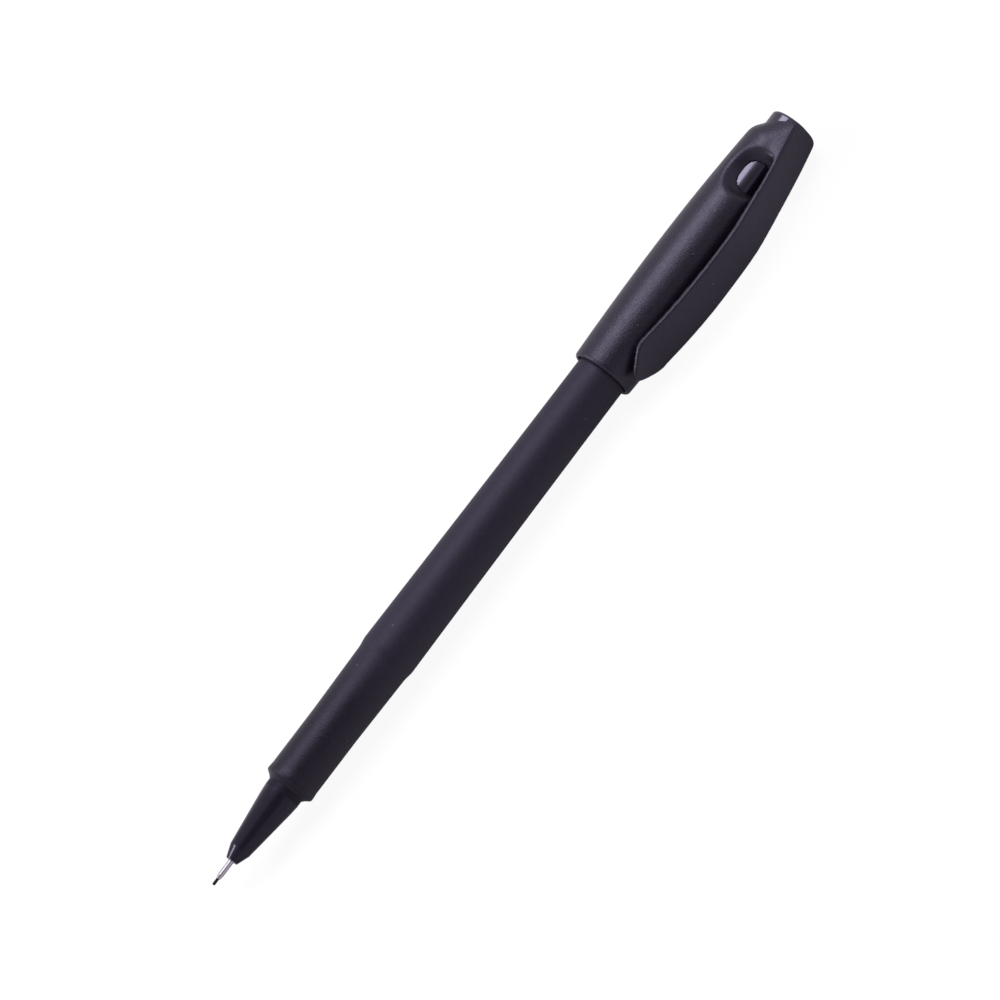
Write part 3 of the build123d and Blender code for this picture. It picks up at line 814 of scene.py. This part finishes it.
def black_plastic(name, base, roughness, shine, grain_mm, depth_mm, dust=0.0, stretch=1.0):
    """Makes a black plastic; the grain changes its height, its roughness and a little of its colour."""
    material, tree, shader = new_material(name)
    shader.inputs["Specular IOR Level"].default_value = shine
    shader.inputs["Specular Tint"].default_value = SHINE_TINT
    grain = place_group(tree, grain_group, Grain_Size_mm=grain_mm, Stretch=stretch)
    dark, light = ((*(share * value for value in base), 1) for share in (MOTTLE_DARK, MOTTLE_LIGHT))
    colour = mix_colours(tree, grain.outputs["Mottle"], dark, light)
    if dust:
        specks = place_group(tree, dust_group)
        dusty = math(tree, "MULTIPLY", specks.outputs["Speck"], dust)
        colour = mix_colours(tree, dusty, colour, DUST_COLOUR)
    tree.links.new(colour, shader.inputs["Base Color"])
    smoothest = roughness - (MOTTLE_ROUGHNESS + CLOUD_ROUGHNESS) / 2
    rough = math(tree, "MULTIPLY_ADD", grain.outputs["Mottle"], MOTTLE_ROUGHNESS, smoothest)
    rough = math(tree, "MULTIPLY_ADD", grain.outputs["Cloud"], CLOUD_ROUGHNESS, rough)
    tree.links.new(rough, shader.inputs["Roughness"])
    bump = tree.nodes.new("ShaderNodeBump")
    bump.inputs["Distance"].default_value = depth_mm * MM
    bump.inputs["Strength"].default_value = 1.0
    tree.links.new(grain.outputs["Height"], bump.inputs["Height"])
    tree.links.new(bump.outputs["Normal"], shader.inputs["Normal"])
    return material


# %% Mix the black plastics
POLISHED, DULL = 0.185, 0.09
BLASTED = dict(grain_mm=0.3, depth_mm=0.05, dust=0.5)
SMOOTH = dict(grain_mm=1.2, depth_mm=0.002)
matte_black = black_plastic(
    "matte_black", (0.0086, 0.0075, 0.0119), roughness=0.38, shine=0.34, **BLASTED
)
barrel_black = black_plastic(
    "barrel_black", (0.0124, 0.0109, 0.0171), roughness=0.53, shine=0.22, **BLASTED
)
gloss_black = black_plastic(
    "gloss_black", (0.0105, 0.0092, 0.0146), roughness=0.18, shine=POLISHED, **SMOOTH
)
liner_black = black_plastic(
    "liner_black", (0.005, 0.0042, 0.0075), roughness=0.22, shine=0.75, **SMOOTH
)
nib_plastic = black_plastic(
    "nib_plastic", (0.006, 0.005, 0.008), roughness=0.5, shine=0.2, grain_mm=0.1, depth_mm=0.004
)
plug_black = black_plastic(
    "plug_black", (0.012, 0.011, 0.015), roughness=0.45, shine=0.25, grain_mm=0.3, depth_mm=0.008
)
plastics = (matte_black, barrel_black, gloss_black, liner_black, nib_plastic, plug_black)
print("plastics", [plastic.name for plastic in plastics])

# %% [markdown]
# ## Marks of making and use
# Where fingers hold the barrel its grain is rubbed a little smoother and darker. The nose is
# polished, but not the land at its root, which meets the barrel. The cap has a faint ring where two
# parts of its mould met, which is painted lighter as a highlight on the ring's small step. All three
# follow the place along the pen, so each is a mask on X that goes in front of the colour or the
# roughness that the recipe has made. The ring's mask also ends below the clip, which shares the
# cap's finish but not its ring.

# %% Put a mask in front of a shader's input
def before(material, label):
    """Takes the link off a shader input and gives the tree, the input and what fed it."""
    tree = material.node_tree
    socket = tree.nodes["Principled BSDF"].inputs[label]
    source = socket.links[0].from_socket
    tree.links.remove(socket.links[0])
    return tree, socket, source


def tone_by(material, mask, factor):
    """Multiplies the base colour by a factor where a mask of the tree is 1."""
    tree, socket, source = before(material, "Base Color")
    tree.links.new(mix_colours(tree, mask, source, (factor, factor, factor, 1), "MULTIPLY"), socket)


def roughen_by(material, mask, change):
    """Adds a change to the roughness where a mask of the tree is 1."""
    tree, socket, source = before(material, "Roughness")
    tree.links.new(math(tree, "MULTIPLY_ADD", mask, change, source), socket)


# %% Rubbed grip
GRIP_END, GRIP_FADE = 6 * MM, 20 * MM
RUBBED_TONE, RUBBED_CHANGE = 0.6, -0.12
tree = barrel_black.node_tree
rubbed = ramp(tree, place_on(tree, "X"), GRIP_END, GRIP_FADE, 1.0, 0.0)
tone_by(barrel_black, rubbed, RUBBED_TONE)
roughen_by(barrel_black, rubbed, RUBBED_CHANGE)
print(barrel_black.name, "rubbed up to", round(GRIP_FADE / MM, 1), "mm")

# %% Unpolished land
LAND_START, LAND_FULL = -9.9 * MM, -9.5 * MM
LAND_CHANGE = 0.2
tree = gloss_black.node_tree
unpolished = ramp(tree, place_on(tree, "X"), LAND_START, LAND_FULL)
roughen_by(gloss_black, unpolished, LAND_CHANGE)
dulled = math(tree, "MULTIPLY_ADD", unpolished, DULL - POLISHED, POLISHED)
tree.links.new(dulled, tree.nodes["Principled BSDF"].inputs["Specular IOR Level"])
print(gloss_black.name, "unpolished from", round(LAND_START / MM, 1), "mm")

# %% Mould line on the cap, painted lighter as its highlight
MOULD_LINE_X, MOULD_LINE_WIDTH, MOULD_LINE_HIGHLIGHT_TONE = 87.1 * MM, 0.16 * MM, 1.9
CLIP_Y = -6.1 * MM
tree = matte_black.node_tree
from_line = math(tree, "ABSOLUTE", math(tree, "SUBTRACT", place_on(tree, "X"), MOULD_LINE_X))
on_cap = math(tree, "GREATER_THAN", place_on(tree, "Y"), CLIP_Y)
# The ring is a real mould line, painted lighter as a painted highlight on its small step.
mould_line_highlight = math(tree, "MULTIPLY", ramp(tree, from_line, 0.0, MOULD_LINE_WIDTH, 1.0, 0.0), on_cap)
tone_by(matte_black, mould_line_highlight, MOULD_LINE_HIGHLIGHT_TONE)
print(matte_black.name, "with a ring at", round(MOULD_LINE_X / MM, 1), "mm")

# %% [markdown]
# ## Steel and fibre
# The sleeve round the point is a drawn steel tube, lightly polished. Its fine marks run along it,
# and they spread what it mirrors a little round the tube, which an anisotropic shine gives. The
# wick and the reservoir are bundled fibre soaked with ink, which also runs along the pen, and the
# wrap round the reservoir is a thin clear film. These three use the plastics' recipe with values of
# their own: the grain is drawn out along the fibres, and the film lets light through.

# %% Steel
STEEL_DARK, STEEL_LIGHT = (0.36, 0.335, 0.36, 1), (0.44, 0.415, 0.44, 1)
STEEL_ROUGHNESS, MARKS_ROUGHNESS, MARKS_SPREAD = 0.25, 0.1, 0.3
nib_steel, tree, shader = new_material("nib_steel")
shader.inputs["Metallic"].default_value = 1.0
shader.inputs["Anisotropic"].default_value = MARKS_SPREAD
marks = place_group(tree, grain_group, Grain_Size_mm=0.2, Stretch=60.0)
tone = mix_colours(tree, marks.outputs["Mottle"], STEEL_DARK, STEEL_LIGHT)
tree.links.new(tone, shader.inputs["Base Color"])
rough = math(tree, "MULTIPLY_ADD", marks.outputs["Height"], MARKS_ROUGHNESS, STEEL_ROUGHNESS)
tree.links.new(rough, shader.inputs["Roughness"])
around = tree.nodes.new("ShaderNodeTangent")
around.direction_type = "RADIAL"
around.axis = "X"
tree.links.new(around.outputs["Tangent"], shader.inputs["Tangent"])
print(nib_steel.name, "with", len(tree.nodes), "nodes")

# %% Fibre and film
FILM_ALPHA = 0.25
wick_fibre = black_plastic(
    "wick_fibre",
    (0.012, 0.010, 0.018),
    roughness=0.8,
    shine=0.1,
    grain_mm=0.12,
    depth_mm=0.05,
    stretch=25.0,
)
inked_fibre = black_plastic(
    "inked_fibre",
    (0.014, 0.012, 0.024),
    roughness=0.75,
    shine=0.15,
    grain_mm=0.2,
    depth_mm=0.08,
    stretch=40.0,
)
clear_film = black_plastic(
    "clear_film", (0.55, 0.56, 0.6), roughness=0.25, shine=0.5, grain_mm=1.5, depth_mm=0.004
)
clear_film.node_tree.nodes["Principled BSDF"].inputs["Alpha"].default_value = FILM_ALPHA
print("fibre and film", [finish.name for finish in (wick_fibre, inked_fibre, clear_film)])

# %% Give each piece its finish
finishes = {
    "nib_point": nib_plastic,
    "nib_sleeve": nib_steel,
    "feed_wick": wick_fibre,
    "ink_reservoir": inked_fibre,
    "reservoir_film": clear_film,
    "tail_plug": plug_black,
    "inner_cap": liner_black,
}
painted = [(nodes[name], finish) for name, finish in finishes.items()]
painted += [(cap_piece, matte_black), (clip_piece, matte_black)]
painted += [(barrel_piece, barrel_black), (nose_piece, gloss_black)]
for piece, finish in painted:
    piece.data.materials.clear()
    piece.data.materials.append(finish)
    print(piece.name, finish.name)
